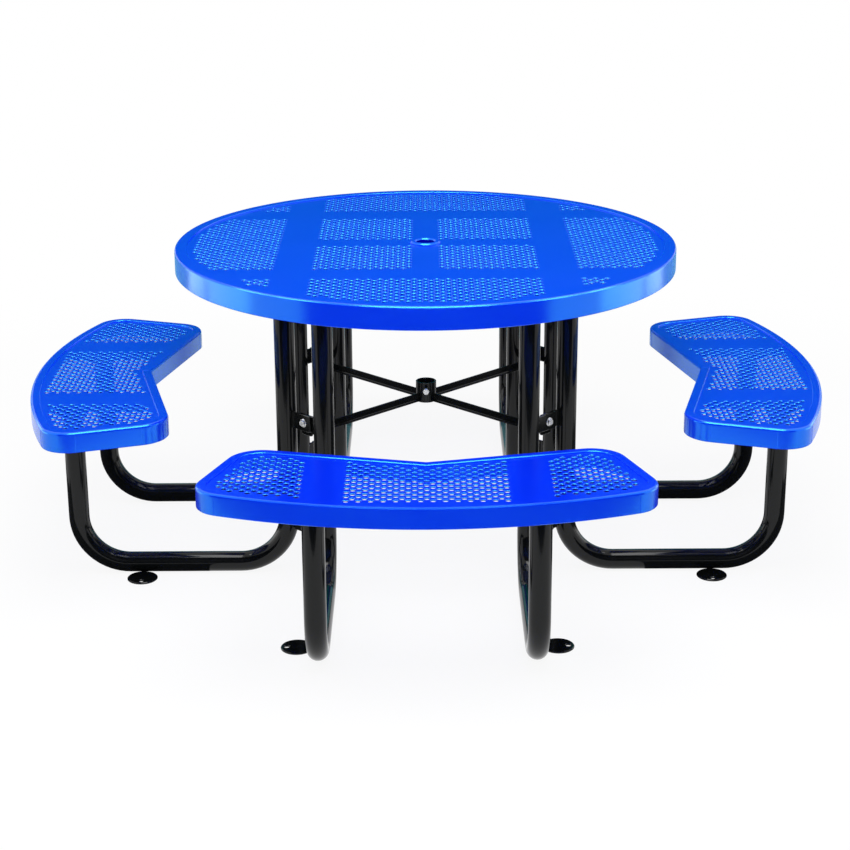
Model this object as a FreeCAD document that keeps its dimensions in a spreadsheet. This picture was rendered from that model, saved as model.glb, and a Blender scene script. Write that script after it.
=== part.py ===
"""Round picnic table: perforated steel top, four boomerang seats and a bent tube frame.

The frame stands on the floor at z = 0 with the table's centre line on the Z axis.
Each seat faces one axis direction, and two bent tubes join it to the tabletop.
Lengths are millimetres and angles are degrees.
"""
import FreeCAD, Part
import Sketcher
import math
import os

doc = FreeCAD.newDocument("PicnicTable")

# Driving dimensions
SIZES = {
    "top_diameter": 1168.4,
    "table_height": 734.0,
    "steel_sheet": 3.0,
    "fit_gap": 0.3,
    "weld_gap": 0.05,
    "top_flange": 28.0,
    "top_apron": 52.0,
    "edge_radius": 5.8,
    "hole_diameter": 11.5,
    "hole_pitch": 17.46,
    "hole_margin": 9.0,
    "rail_band": 78.0,
    "cross_band": 58.0,
    "collar_diameter": 71.0,
    "collar_height": 5.0,
    "collar_sleeve": 48.0,
    "collar_depth": 20.0,
    "collar_bore": 43.0,
    "collar_round": 2.0,
    "tube_diameter": 47.0,
    "tube_wall": 3.0,
    "bend_radius": 115.0,
    "leg_spacing": 460.0,
    "leg_reach": 809.0,
    "post_reach": 320.0,
    "rail_width": 60.0,
    "rail_depth": 25.0,
    "rail_length": 880.0,
    "plate_thickness": 5.0,
    "plate_length": 70.0,
    "bolt_diameter": 8.0,
    "bolt_spacing": 52.0,
    "bolt_clearance": 0.3,
    "thread_gap": 0.05,
    "hex_across": 13.0,
    "hex_head": 5.5,
    "hex_nut": 6.5,
    "thread_past_nut": 2.0,
    "seat_height": 422.0,
    "seat_notch": 657.0,
    "seat_outer": 927.0,
    "seat_arc_radius": 1149.0,
    "seat_inner_corner_along": 394.0,
    "seat_inner_corner_out": 561.0,
    "seat_outer_corner_along": 483.0,
    "seat_inner_round": 74.0,
    "seat_outer_round": 66.0,
    "seat_flange": 22.0,
    "seat_apron": 46.0,
    "seat_rail_depth": 20.0,
    "seat_rail_inner": 640.0,
    "seat_rail_length": 250.0,
    "ear_height": 38.0,
    "ear_thickness": 5.0,
    "ear_lap": 22.0,
    "upper_ear": 380.0,
    "lower_ear": 130.0,
    "washer_diameter": 20.0,
    "washer_thickness": 1.6,
    "button_diameter": 16.0,
    "button_height": 4.5,
    "holder_diameter": 49.0,
    "holder_bore": 42.0,
    "holder_height": 45.0,
    "holder_bottom": 348.0,
    "holder_floor_diameter": 49.0,
    "holder_floor": 4.0,
    "drain_diameter": 12.0,
    "arm_depth": 19.0,
    "arm_flange": 15.0,
    "arm_wall": 3.0,
    "arm_bottom": 348.0,
    "arm_end_width": 34.0,
    "arm_end_margin": 16.0,
    "arm_end_thickness": 4.0,
    "clamp_height": 379.0,
    "clamp_thread": 8.0,
    "clamp_across": 13.0,
    "clamp_nut_height": 8.0,
    "clamp_head_height": 7.0,
    "clamp_travel": 10.0,
    "clamp_stop_gap": 0.5,
    "foot_diameter": 70.0,
    "foot_thickness": 5.0,
    "foot_reach": 662.0,
    "anchor_diameter": 11.5,
    "anchor_offset": 22.0,
}
# Sizes that follow from the driving ones, as cell formulas
DERIVED = {
    "top_radius": "top_diameter / 2",
    "tube_radius": "tube_diameter / 2",
    "leg_half": "leg_spacing / 2",
    "sheet_top": "table_height - steel_sheet",
    "sheet_bottom": "sheet_top - steel_sheet",
    "rail_bottom": "sheet_bottom - rail_depth",
    "post_top": "rail_bottom - plate_thickness",
    "rail_centre": "post_reach - tube_radius",
    "seat_sheet_bottom": "seat_height - 2 * steel_sheet",
    "seat_rail_bottom": "seat_sheet_bottom - seat_rail_depth",
    "leg_top": "seat_rail_bottom - plate_thickness",
    "seat_rail_centre": "leg_half - tube_radius",
    "corner_out": "(post_reach + leg_half) / sqrt(2)",
    "corner_side": "(post_reach - leg_half) / sqrt(2)",
    "ear_start": "corner_side - tube_radius - weld_gap",
    "bolt_hole": "bolt_diameter / 2 + bolt_clearance",
    "bolt_radius": "bolt_diameter / 2",
    "nut_bore": "bolt_diameter / 2 + thread_gap",
    "clamp_bore": "clamp_thread / 2 + thread_gap",
    "clamp_nut_inner": "holder_diameter / 2 + weld_gap",
    "clamp_nut_outer": "clamp_nut_inner + clamp_nut_height",
    "clamp_head_inner": "clamp_nut_outer + clamp_travel + clamp_stop_gap",
    "arm_start": "holder_diameter / 2 + weld_gap",
    "arm_end": "corner_out - ear_thickness",
    "arm_end_top": "upper_ear + arm_end_margin",
    "foot_radius": "foot_diameter / 2",
    "foot_contact": "sqrt(foot_thickness * (tube_diameter - foot_thickness))",
    "foot_side": "leg_half + foot_contact + foot_radius + weld_gap",
}

sheet = doc.addObject("Spreadsheet::Sheet", "dims")
for row, (alias, value) in enumerate(SIZES.items(), start=1):
    sheet.set(f"A{row}", alias)
    sheet.set(f"B{row}", str(value))
    sheet.setAlias(f"B{row}", alias)
for row, (alias, formula) in enumerate(DERIVED.items(), start=len(SIZES) + 1):
    sheet.set(f"A{row}", alias)
    sheet.set(f"B{row}", "=" + formula)
    sheet.setAlias(f"B{row}", alias)
    doc.recompute()


def size(alias):
    """The value of one cell of the sheet, as a number."""
    return float(getattr(sheet, alias))


def of_sheet(expression):
    """An expression whose names are cells, with the sheet's name before each cell."""
    words = []
    for word in expression.replace("(", " ( ").replace(")", " ) ").replace(",", " , ").split():
        words.append("dims." + word if word in SIZES or word in DERIVED else word)
    return " ".join(words)


pieces = []
# Lengths that differ by less than this are the same
SAME = 0.01


def new_body(label, turn=0.0, several=False):
    """A body turned about the table's centre line; several lets it hold separate solids."""
    body = doc.addObject("PartDesign::Body", label)
    body.Label = label
    body.AllowCompound = several
    body.Placement = FreeCAD.Placement(FreeCAD.Vector(), FreeCAD.Rotation(FreeCAD.Vector(0, 0, 1), turn))
    pieces.append(body)
    return body


def origin_part(body, role):
    return next(item for item in body.Origin.OriginFeatures if item.Role == role)


def new_sketch(body, plane, offset="0"):
    """A sketch on one of the body's own planes, moved along the plane's normal."""
    sketch = body.newObject("Sketcher::SketchObject", body.Name + "_sketch")
    sketch.AttachmentSupport = [(origin_part(body, plane), "")]
    sketch.MapMode = "FlatFace"
    sketch.setExpression("AttachmentOffset.Base.z", of_sheet(offset))
    return sketch


def bind(sketch, constraint, expression):
    index = sketch.addConstraint(constraint)
    sketch.setExpression(f"Constraints[{index}]", of_sheet(expression))


def pin(sketch, geometry, point, across, up):
    """Places one point of a sketch by its two distances from the origin."""
    guess = sketch.getPoint(geometry, point)
    bind(sketch, Sketcher.Constraint("DistanceX", -1, 1, geometry, point, guess.x), across)
    bind(sketch, Sketcher.Constraint("DistanceY", -1, 1, geometry, point, guess.y), up)


def polygon(sketch, corners):
    """A closed outline of straight lines, drawn on a circle first and then pinned corner by corner."""
    points = []
    first_radius = size("top_radius") / 6
    for index in range(len(corners)):
        turn = 2 * math.pi * (index + 0.5) / len(corners)
        points.append(FreeCAD.Vector(first_radius * math.cos(turn), first_radius * math.sin(turn), 0))
    lines = []
    for index, point in enumerate(points):
        follower = points[(index + 1) % len(points)]
        lines.append(sketch.addGeometry(Part.LineSegment(point, follower)))
    for index, line in enumerate(lines):
        sketch.addConstraint(Sketcher.Constraint("Coincident", line, 2, lines[(index + 1) % len(lines)], 1))
    for line, corner in zip(lines, corners):
        pin(sketch, line, 1, *corner)


def rectangle(sketch, left, right, low, high):
    polygon(sketch, [(left, low), (right, low), (right, high), (left, high)])


def hexagon(sketch, across, up, flats):
    """A regular hexagon, its size given across the flats, with two corners level with its centre."""
    corners = []
    for step in range(6):
        turn = math.radians(60 * step)
        reach = 1 / math.sqrt(3)
        corners.append((f"{across} + {flats} * {reach * math.cos(turn):.9f}",
                        f"{up} + {flats} * {reach * math.sin(turn):.9f}"))
    polygon(sketch, corners)


def circle(sketch, across, up, radius):
    ring = sketch.addGeometry(Part.Circle(FreeCAD.Vector(1, 1, 0), FreeCAD.Vector(0, 0, 1), 1))
    pin(sketch, ring, 3, across, up)
    bind(sketch, Sketcher.Constraint("Radius", ring, 1), radius)


def pad(body, sketch, length, backwards=False):
    feature = body.newObject("PartDesign::Pad", body.Name + "_pad")
    feature.Profile = sketch
    feature.setExpression("Length", of_sheet(length))
    feature.Reversed = backwards
    return feature


def revolve(body, sketch, axis):
    feature = body.newObject("PartDesign::Revolution", body.Name + "_revolution")
    feature.Profile = sketch
    feature.ReferenceAxis = (sketch, [axis])
    feature.Angle = 360.0
    return feature


def four_times(body, features):
    """Repeats features at each quarter turn about the table's centre line."""
    pattern = body.newObject("PartDesign::PolarPattern", body.Name + "_pattern")
    pattern.Originals = features
    pattern.Axis = (origin_part(body, "Z_Axis"), [""])
    pattern.Angle = 360.0
    pattern.Occurrences = 4
    body.Tip = pattern
    return pattern


def holed_plate(face, holes, thickness):
    """A flat plate with round holes, each a centre and a radius, pushed up from its lower face."""
    up = FreeCAD.Vector(0, 0, 1)
    face = Part.Face(face.OuterWire)
    # A hole's ring runs the other way round from the outline
    turned = -face.normalAt(0, 0)
    face.cutHoles([Part.Wire(Part.Circle(centre, turned, radius).toShape()) for centre, radius in holes])
    return face.extrude(up * thickness)


def lattice(reach):
    """Points of a square lattice turned by 45 degrees, out to a reach each way."""
    step = size("hole_pitch") / math.sqrt(2)
    count = int(reach / step) + 1
    for column in range(-count, count + 1):
        for line in range(-count, count + 1):
            if (column + line) % 2 == 0:
                yield column * step, line * step


def new_feature(label, shape, turn=0.0):
    feature = doc.addObject("Part::Feature", label)
    feature.Label = label
    feature.Shape = shape
    feature.Placement = FreeCAD.Placement(FreeCAD.Vector(), FreeCAD.Rotation(FreeCAD.Vector(0, 0, 1), turn))
    pieces.append(feature)
    return feature


# Tabletop rim: a rolled angle with its flange on top and its apron hanging down
rim = new_body("tabletop_rim")
profile = new_sketch(rim, "XZ_Plane")
polygon(profile, [
    ("top_radius", "table_height"),
    ("top_radius - top_flange", "table_height"),
    ("top_radius - top_flange", "sheet_top"),
    ("top_radius - steel_sheet", "sheet_top"),
    ("top_radius - steel_sheet", "table_height - top_apron"),
    ("top_radius", "table_height - top_apron"),
])
ring = revolve(rim, profile, "V_Axis")
doc.recompute()


def rim_edge(shape, radius, height):
    """The name of the round edge at one radius and height."""
    for index, edge in enumerate(shape.Edges, start=1):
        box = edge.BoundBox
        level = abs(box.ZMax - height) < SAME and box.ZLength < SAME
        if level and abs(box.XMax - radius) < SAME:
            return f"Edge{index}"


rounding = rim.newObject("PartDesign::Fillet", "tabletop_rim_rounding")
rounding.Base = (ring, [rim_edge(ring.Shape, size("top_radius"), size("table_height"))])
rounding.setExpression("Radius", of_sheet("edge_radius"))

# Perforated top: four solid bands lie over the rails, and a cross marks the umbrella hole
hole_radius = size("hole_diameter") / 2
top_limit = size("top_radius") - size("top_flange") - size("hole_margin") - hole_radius
band_half = size("rail_band") / 2 + hole_radius
cross_half = size("cross_band") / 2 + hole_radius


def clear_of_bands(x, y):
    """True where a hole of the top misses the bands over the rails and the central cross."""
    inside = abs(x) < size("rail_centre") and abs(y) < size("rail_centre")
    if inside and min(abs(x), abs(y)) < cross_half:
        return False
    off_bands = all(abs(abs(place) - size("rail_centre")) > band_half for place in (x, y))
    return off_bands and math.hypot(x, y) < top_limit


sheet_level = FreeCAD.Vector(0, 0, size("sheet_bottom"))
sheet_radius = size("top_radius") - size("steel_sheet") - size("fit_gap")
disc = Part.Face(Part.Wire(Part.Circle(sheet_level, FreeCAD.Vector(0, 0, 1), sheet_radius).toShape()))
top_holes = [(sheet_level, size("collar_sleeve") / 2 + size("fit_gap"))]
for x, y in lattice(top_limit):
    if clear_of_bands(x, y):
        top_holes.append((FreeCAD.Vector(x, y, size("sheet_bottom")), hole_radius))
new_feature("tabletop_sheet", holed_plate(disc, top_holes, size("steel_sheet")))

# Umbrella collar: a flanged sleeve pressed into the middle of the top
collar = new_body("umbrella_collar")
profile = new_sketch(collar, "XZ_Plane")
polygon(profile, [
    ("collar_bore / 2", "sheet_top - collar_depth"),
    ("collar_sleeve / 2", "sheet_top - collar_depth"),
    ("collar_sleeve / 2", "sheet_top"),
    ("collar_diameter / 2", "sheet_top"),
    ("collar_diameter / 2", "sheet_top + collar_height"),
    ("collar_bore / 2", "sheet_top + collar_height"),
])
flanged = revolve(collar, profile, "V_Axis")
doc.recompute()
collar_top = size("sheet_top") + size("collar_height")
rounding = collar.newObject("PartDesign::Fillet", "umbrella_collar_rounding")
rounding.Base = (flanged, [rim_edge(flanged.Shape, size("collar_diameter") / 2, collar_top),
                           rim_edge(flanged.Shape, size("collar_bore") / 2, collar_top)])
rounding.setExpression("Radius", of_sheet("collar_round"))


# Rails under the top: channels, open side up, two long and two that end against them
def top_rail(label, turn, half_length):
    rail = new_body(label, turn)
    section = new_sketch(rail, "XZ_Plane", f"0 - ( {half_length} )")
    left = "rail_centre - rail_width / 2"
    right = "rail_centre + rail_width / 2"
    polygon(section, [
        (left, "rail_bottom"),
        (right, "rail_bottom"),
        (right, "sheet_bottom"),
        (right + " - steel_sheet", "sheet_bottom"),
        (right + " - steel_sheet", "rail_bottom + steel_sheet"),
        (left + " + steel_sheet", "rail_bottom + steel_sheet"),
        (left + " + steel_sheet", "sheet_bottom"),
        (left, "sheet_bottom"),
    ])
    pad(rail, section, f"2 * ( {half_length} )")
    doc.recompute()
    drilling = new_sketch(rail, "XY_Plane", "rail_bottom")
    for side in ("leg_half", "0 - leg_half"):
        for shift in ("- bolt_spacing / 2", "+ bolt_spacing / 2"):
            circle(drilling, "rail_centre", f"{side} {shift}", "bolt_hole")
    holes = rail.newObject("PartDesign::Pocket", label + "_holes")
    holes.Profile = drilling
    holes.Reversed = True
    holes.setExpression("Length", of_sheet("steel_sheet"))


top_rail("top_rail_right", 0, "rail_length / 2")
top_rail("top_rail_left", 180, "rail_length / 2")
top_rail("top_rail_back", 90, "rail_centre - rail_width / 2")
top_rail("top_rail_front", 270, "rail_centre - rail_width / 2")


# Leg tubes: short leg up to the seat, floor run, tall post up to the rail
def leg_tube(label, turn, side):
    leg = new_body(label, turn)
    path = new_sketch(leg, "XZ_Plane", f"{-side} * leg_half")
    floor = "tube_radius"
    bend_height = "tube_radius + bend_radius"
    stops = [
        ("leg_reach", "leg_top"),
        ("leg_reach", bend_height),
        ("leg_reach - bend_radius", floor),
        ("post_reach + bend_radius", floor),
        ("post_reach", bend_height),
        ("post_reach", "post_top"),
    ]
    reach, post, radius = size("leg_reach"), size("post_reach"), size("bend_radius")
    low, high = size("tube_radius"), size("tube_radius") + radius
    spots = [FreeCAD.Vector(reach, size("leg_top"), 0), FreeCAD.Vector(reach, high, 0),
             FreeCAD.Vector(reach - radius, low, 0), FreeCAD.Vector(post + radius, low, 0),
             FreeCAD.Vector(post, high, 0), FreeCAD.Vector(post, size("post_top"), 0)]
    outer_bend = Part.Circle(FreeCAD.Vector(reach - radius, high, 0), FreeCAD.Vector(0, 0, 1), radius)
    inner_bend = Part.Circle(FreeCAD.Vector(post + radius, high, 0), FreeCAD.Vector(0, 0, 1), radius)
    seat_leg = path.addGeometry(Part.LineSegment(spots[0], spots[1]))
    outer = path.addGeometry(Part.ArcOfCircle(outer_bend, 1.5 * math.pi, 2 * math.pi))
    run = path.addGeometry(Part.LineSegment(spots[2], spots[3]))
    inner = path.addGeometry(Part.ArcOfCircle(inner_bend, math.pi, 1.5 * math.pi))
    post_line = path.addGeometry(Part.LineSegment(spots[4], spots[5]))
    pin(path, seat_leg, 1, *stops[0])
    pin(path, seat_leg, 2, *stops[1])
    pin(path, run, 1, *stops[2])
    pin(path, run, 2, *stops[3])
    pin(path, post_line, 1, *stops[4])
    pin(path, post_line, 2, *stops[5])
    meetings = ((seat_leg, 2, outer, 2), (run, 1, outer, 1), (run, 2, inner, 2), (post_line, 1, inner, 1))
    for line, end, arc, start in meetings:
        path.addConstraint(Sketcher.Constraint("Coincident", line, end, arc, start))
    bind(path, Sketcher.Constraint("Radius", outer, radius), "bend_radius")
    bind(path, Sketcher.Constraint("Radius", inner, radius), "bend_radius")
    section = new_sketch(leg, "XY_Plane", "leg_top")
    circle(section, "leg_reach", f"{side} * leg_half", "tube_radius")
    circle(section, "leg_reach", f"{side} * leg_half", "tube_radius - tube_wall")
    doc.recompute()
    tube = leg.newObject("PartDesign::AdditivePipe", label + "_tube")
    tube.Profile = section
    tube.Spine = (path, ["Edge1", "Edge2", "Edge3", "Edge4", "Edge5"])


SEATS = {"right": 0, "back": 90, "left": 180, "front": 270}
LEG_SIDES = {
    "right": ("front", "back"),
    "back": ("right", "left"),
    "left": ("back", "front"),
    "front": ("left", "right"),
}
for seat, turn in SEATS.items():
    for side, name in zip((-1, 1), LEG_SIDES[seat]):
        leg_tube(f"leg_{seat}_{name}", turn, side)


# Mount plates welded on the tube ends, drilled for two bolts into the rail above
def mount_plates(label, bottom, left, right, low, high, holes):
    plates = new_body(label, several=True)
    outline = new_sketch(plates, "XY_Plane", bottom)
    for side in ("1", "-1"):
        ends = (f"{side} * ( {low} )", f"{side} * ( {high} )")
        rectangle(outline, left, right, *ends)
        for across, up in holes:
            circle(outline, across, f"{side} * ( {up} )", "bolt_hole")
    four_times(plates, [pad(plates, outline, "plate_thickness")])


TOP_BOLTS = [
    ("rail_centre", "leg_half - bolt_spacing / 2"),
    ("rail_centre", "leg_half + bolt_spacing / 2"),
]
SEAT_BOLTS = [
    ("leg_reach - bolt_spacing / 2", "seat_rail_centre"),
    ("leg_reach + bolt_spacing / 2", "seat_rail_centre"),
]
mount_plates("top_mount_plates", "post_top", "rail_centre - rail_width / 2", "post_reach + tube_radius",
             "leg_half - plate_length / 2", "leg_half + plate_length / 2", TOP_BOLTS)
mount_plates("seat_mount_plates", "leg_top", "leg_reach - plate_length / 2", "leg_reach + plate_length / 2",
             "seat_rail_centre - rail_width / 2", "leg_half + tube_radius", SEAT_BOLTS)


# Bolts from below through plate and rail, with nuts inside the rail
def mount_bolts(bolt_label, nut_label, places, plate_bottom):
    bolts = new_body(bolt_label, several=True)
    heads = new_sketch(bolts, "XY_Plane", plate_bottom)
    shanks = new_sketch(bolts, "XY_Plane", plate_bottom)
    nuts = new_body(nut_label, several=True)
    rings = new_sketch(nuts, "XY_Plane", f"{plate_bottom} + plate_thickness + steel_sheet")
    for side in ("1", "-1"):
        for across, up in places:
            spot = (across, f"{side} * ( {up} )")
            hexagon(heads, *spot, "hex_across")
            circle(shanks, *spot, "bolt_radius")
            hexagon(rings, *spot, "hex_across")
            circle(rings, *spot, "nut_bore")
    head = pad(bolts, heads, "hex_head", backwards=True)
    shank = pad(bolts, shanks, "plate_thickness + steel_sheet + hex_nut + thread_past_nut")
    four_times(bolts, [head, shank])
    four_times(nuts, [pad(nuts, rings, "hex_nut")])


mount_bolts("top_bolts", "top_nuts", TOP_BOLTS, "post_top")
mount_bolts("seat_bolts", "seat_nuts", SEAT_BOLTS, "leg_top")

# Feet: discs on the floor beside each tube, each with an anchor hole on its outer side
feet = new_body("foot_discs", several=True)
outline = new_sketch(feet, "XY_Plane")
for side in ("1", "-1"):
    circle(outline, "foot_reach", f"{side} * foot_side", "foot_radius")
    circle(outline, "foot_reach", f"{side} * ( foot_side + anchor_offset )", "anchor_diameter / 2")
four_times(feet, [pad(feet, outline, "foot_thickness")])


# Corner ears: plates welded to the two posts of a corner, lapped and bolted at two levels
def corner_ears(label, start, end, inward):
    ears = new_body(label, 45, several=True)
    plates = []
    for level in ("upper_ear", "lower_ear"):
        outline = new_sketch(ears, "YZ_Plane", "corner_out")
        rectangle(outline, start, end, f"{level} - ear_height / 2", f"{level} + ear_height / 2")
        circle(outline, "0", level, "bolt_hole")
        plates.append(pad(ears, outline, "ear_thickness", inward))
    four_times(ears, plates)


corner_ears("corner_ears_outer", "0 - ear_start", "ear_lap", False)
corner_ears("corner_ears_inner", "0 - ear_lap", "ear_start", True)

washers = new_body("corner_washers", 45, several=True)
nuts = new_body("corner_nuts", 45, several=True)
bolts = new_body("corner_bolts", 45, several=True)
rings, hexes, shanks = [], [], []
for level, behind in (("upper_ear", "ear_thickness + arm_end_thickness"), ("lower_ear", "ear_thickness")):
    outline = new_sketch(washers, "YZ_Plane", "corner_out + ear_thickness")
    circle(outline, "0", level, "washer_diameter / 2")
    circle(outline, "0", level, "bolt_hole")
    rings.append(pad(washers, outline, "washer_thickness"))
    outline = new_sketch(nuts, "YZ_Plane", f"corner_out - ( {behind} )")
    hexagon(outline, "0", level, "hex_across")
    circle(outline, "0", level, "nut_bore")
    hexes.append(pad(nuts, outline, "hex_nut", backwards=True))
    seat_face = "corner_out + ear_thickness + washer_thickness"
    outline = new_sketch(bolts, "YZ_Plane", seat_face)
    circle(outline, "0", level, "button_diameter / 2")
    shanks.append(pad(bolts, outline, "button_height"))
    outline = new_sketch(bolts, "YZ_Plane", seat_face)
    circle(outline, "0", level, "bolt_radius")
    grip = f"ear_thickness + washer_thickness + {behind} + hex_nut + thread_past_nut"
    shanks.append(pad(bolts, outline, grip, backwards=True))
four_times(washers, rings)
four_times(nuts, hexes)
four_times(bolts, shanks)

# Umbrella holder: a short tube with a floor, carried by four arms of inverted T section
holder = new_body("umbrella_holder")
outline = new_sketch(holder, "XY_Plane", "holder_bottom")
circle(outline, "0", "0", "holder_diameter / 2")
circle(outline, "0", "0", "holder_bore / 2")
pad(holder, outline, "holder_height")
doc.recompute()
drilling = new_sketch(holder, "XZ_Plane")
circle(drilling, "0", "clamp_height", "clamp_bore")
hole = holder.newObject("PartDesign::Pocket", "umbrella_holder_hole")
hole.Profile = drilling
hole.Reversed = True
hole.setExpression("Length", of_sheet("holder_diameter"))

floor = new_body("holder_floor")
outline = new_sketch(floor, "XY_Plane", "holder_bottom - holder_floor")
circle(outline, "0", "0", "holder_floor_diameter / 2")
circle(outline, "0", "0", "drain_diameter / 2")
pad(floor, outline, "holder_floor")

for name, turn in (("back_right", 45), ("back_left", 135), ("front_left", 225), ("front_right", 315)):
    arm = new_body(f"brace_arm_{name}", turn)
    section = new_sketch(arm, "YZ_Plane", "arm_start")
    polygon(section, [
        ("0 - arm_flange / 2", "arm_bottom"),
        ("arm_flange / 2", "arm_bottom"),
        ("arm_flange / 2", "arm_bottom + arm_wall"),
        ("arm_wall / 2", "arm_bottom + arm_wall"),
        ("arm_wall / 2", "arm_bottom + arm_depth"),
        ("0 - arm_wall / 2", "arm_bottom + arm_depth"),
        ("0 - arm_wall / 2", "arm_bottom + arm_wall"),
        ("0 - arm_flange / 2", "arm_bottom + arm_wall"),
    ])
    pad(arm, section, "arm_end - arm_start")
    plate = new_sketch(arm, "YZ_Plane", "arm_end")
    rectangle(plate, "0 - arm_end_width / 2", "arm_end_width / 2", "arm_bottom", "arm_end_top")
    circle(plate, "0", "upper_ear", "bolt_hole")
    pad(arm, plate, "arm_end_thickness", backwards=True)

# Clamp screw and its nut, which is welded to the front of the holder
nut = new_body("clamp_nut")
outline = new_sketch(nut, "XZ_Plane", "clamp_nut_inner")
hexagon(outline, "0", "clamp_height", "clamp_across")
circle(outline, "0", "clamp_height", "clamp_bore")
pad(nut, outline, "clamp_nut_height")

screw = new_body("clamp_screw")
outline = new_sketch(screw, "XZ_Plane", "holder_bore / 2")
circle(outline, "0", "clamp_height", "clamp_thread / 2")
pad(screw, outline, "clamp_head_inner - holder_bore / 2")
outline = new_sketch(screw, "XZ_Plane", "clamp_head_inner")
hexagon(outline, "0", "clamp_height", "clamp_across")
pad(screw, outline, "clamp_head_height")


# Seats: boomerang outline with straight inner edges, slanted ends and one wide arc outside
def seat_blank(inset, bottom, height):
    """A solid of the seat's outline drawn in by an inset, with rounded corners."""
    notch = FreeCAD.Vector(size("seat_notch"), 0, 0)
    inner = FreeCAD.Vector(size("seat_inner_corner_out"), size("seat_inner_corner_along"), 0)
    along = size("seat_outer_corner_along")
    centre = FreeCAD.Vector(size("seat_outer") - size("seat_arc_radius"), 0, 0)
    outer = centre + FreeCAD.Vector(math.sqrt(size("seat_arc_radius") ** 2 - along ** 2), along, 0)
    edge = (inner - notch).normalize()
    end = (outer - inner).normalize()
    edge_in = FreeCAD.Vector(edge.y, -edge.x, 0) * inset
    end_in = FreeCAD.Vector(end.y, -end.x, 0) * inset
    drawn_notch = FreeCAD.Vector(notch.x + inset / edge.y, 0, 0)
    turn = edge.x * end.y - edge.y * end.x
    gap = (inner + end_in) - (notch + edge_in)
    drawn_inner = notch + edge_in + edge * ((gap.x * end.y - gap.y * end.x) / turn)
    arc_radius = size("seat_arc_radius") - inset
    start = inner + end_in - centre
    middle = start.x * end.x + start.y * end.y
    length = math.sqrt(middle ** 2 - start.Length ** 2 + arc_radius ** 2) - middle
    drawn_outer = centre + start + end * length
    mirrored = [FreeCAD.Vector(point.x, -point.y, 0) for point in (drawn_inner, drawn_outer)]
    arc = Part.Arc(drawn_outer, FreeCAD.Vector(size("seat_outer") - inset, 0, 0), mirrored[1]).toShape()
    lines = [Part.makeLine(drawn_notch, drawn_inner), Part.makeLine(drawn_inner, drawn_outer), arc,
             Part.makeLine(mirrored[1], mirrored[0]), Part.makeLine(mirrored[0], drawn_notch)]
    blank = Part.Face(Part.Wire(lines)).extrude(FreeCAD.Vector(0, 0, height))
    for corner, rounding in ((drawn_inner, "seat_inner_round"), (drawn_outer, "seat_outer_round")):
        upright = []
        for edge in blank.Edges:
            box = edge.BoundBox
            at_corner = abs(box.XMin - corner.x) < SAME and abs(abs(box.YMin) - corner.y) < SAME
            if at_corner and box.ZLength > height / 2:
                upright.append(edge)
        blank = blank.makeFillet(max(size(rounding) - inset, size("steel_sheet")), upright)
    blank.translate(FreeCAD.Vector(0, 0, bottom))
    return blank


def face_at(solid, height):
    """The level face of a solid at one height."""
    for face in solid.Faces:
        if face.BoundBox.ZLength < SAME and abs(face.BoundBox.ZMin - height) < SAME:
            return face


apron_bottom = size("seat_height") - size("seat_apron")
shell = seat_blank(0, apron_bottom, size("seat_apron"))
shell = shell.makeFillet(size("edge_radius"), face_at(shell, size("seat_height")).Edges)
cavity = seat_blank(size("steel_sheet"), apron_bottom, size("seat_apron") - size("steel_sheet"))
opening = seat_blank(size("seat_flange"), apron_bottom, size("seat_apron"))
seat_rim = shell.cut(cavity).cut(opening).Solids[0]

plate_inset = size("steel_sheet") + size("fit_gap")
seat_plate = seat_blank(plate_inset, size("seat_sheet_bottom"), size("steel_sheet"))
hole_inset = size("seat_flange") + size("hole_margin") + hole_radius
hole_zone = seat_blank(hole_inset, size("seat_sheet_bottom"), size("steel_sheet"))
hole_floor = face_at(hole_zone, size("seat_sheet_bottom"))
seat_middle = (size("seat_notch") + size("seat_outer")) / 2
seat_holes = []
for x, y in lattice(size("seat_outer_corner_along")):
    spot = FreeCAD.Vector(seat_middle + x, y, size("seat_sheet_bottom"))
    if abs(abs(y) - size("seat_rail_centre")) > band_half and hole_floor.isInside(spot, SAME, True):
        seat_holes.append((spot, hole_radius))
seat_sheet = holed_plate(face_at(seat_plate, size("seat_sheet_bottom")), seat_holes, size("steel_sheet"))

for seat, turn in SEATS.items():
    new_feature(f"seat_rim_{seat}", seat_rim, turn)
    new_feature(f"seat_sheet_{seat}", seat_sheet, turn)
    rails = new_body(f"seat_rails_{seat}", turn, several=True)
    section = new_sketch(rails, "YZ_Plane", "seat_rail_inner")
    for side in ("1", "-1"):
        inner = "seat_rail_centre - rail_width / 2"
        outer = "seat_rail_centre + rail_width / 2"
        corners = [
            (inner, "seat_rail_bottom"),
            (outer, "seat_rail_bottom"),
            (outer, "seat_sheet_bottom"),
            (outer + " - steel_sheet", "seat_sheet_bottom"),
            (outer + " - steel_sheet", "seat_rail_bottom + steel_sheet"),
            (inner + " + steel_sheet", "seat_rail_bottom + steel_sheet"),
            (inner + " + steel_sheet", "seat_sheet_bottom"),
            (inner, "seat_sheet_bottom"),
        ]
        polygon(section, [(f"{side} * ( {across} )", up) for across, up in corners])
    pad(rails, section, "seat_rail_length")
    doc.recompute()
    drilling = new_sketch(rails, "XY_Plane", "seat_rail_bottom")
    for side in ("1", "-1"):
        for across, up in SEAT_BOLTS:
            circle(drilling, across, f"{side} * ( {up} )", "bolt_hole")
    holes = rails.newObject("PartDesign::Pocket", f"seat_rails_{seat}_holes")
    holes.Profile = drilling
    holes.Reversed = True
    holes.setExpression("Length", of_sheet("steel_sheet"))

doc.recompute()
for item in doc.Objects:
    if "Invalid" in item.State or "Error" in item.State:
        raise RuntimeError(f"{item.Label} failed: {item.State}")
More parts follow.
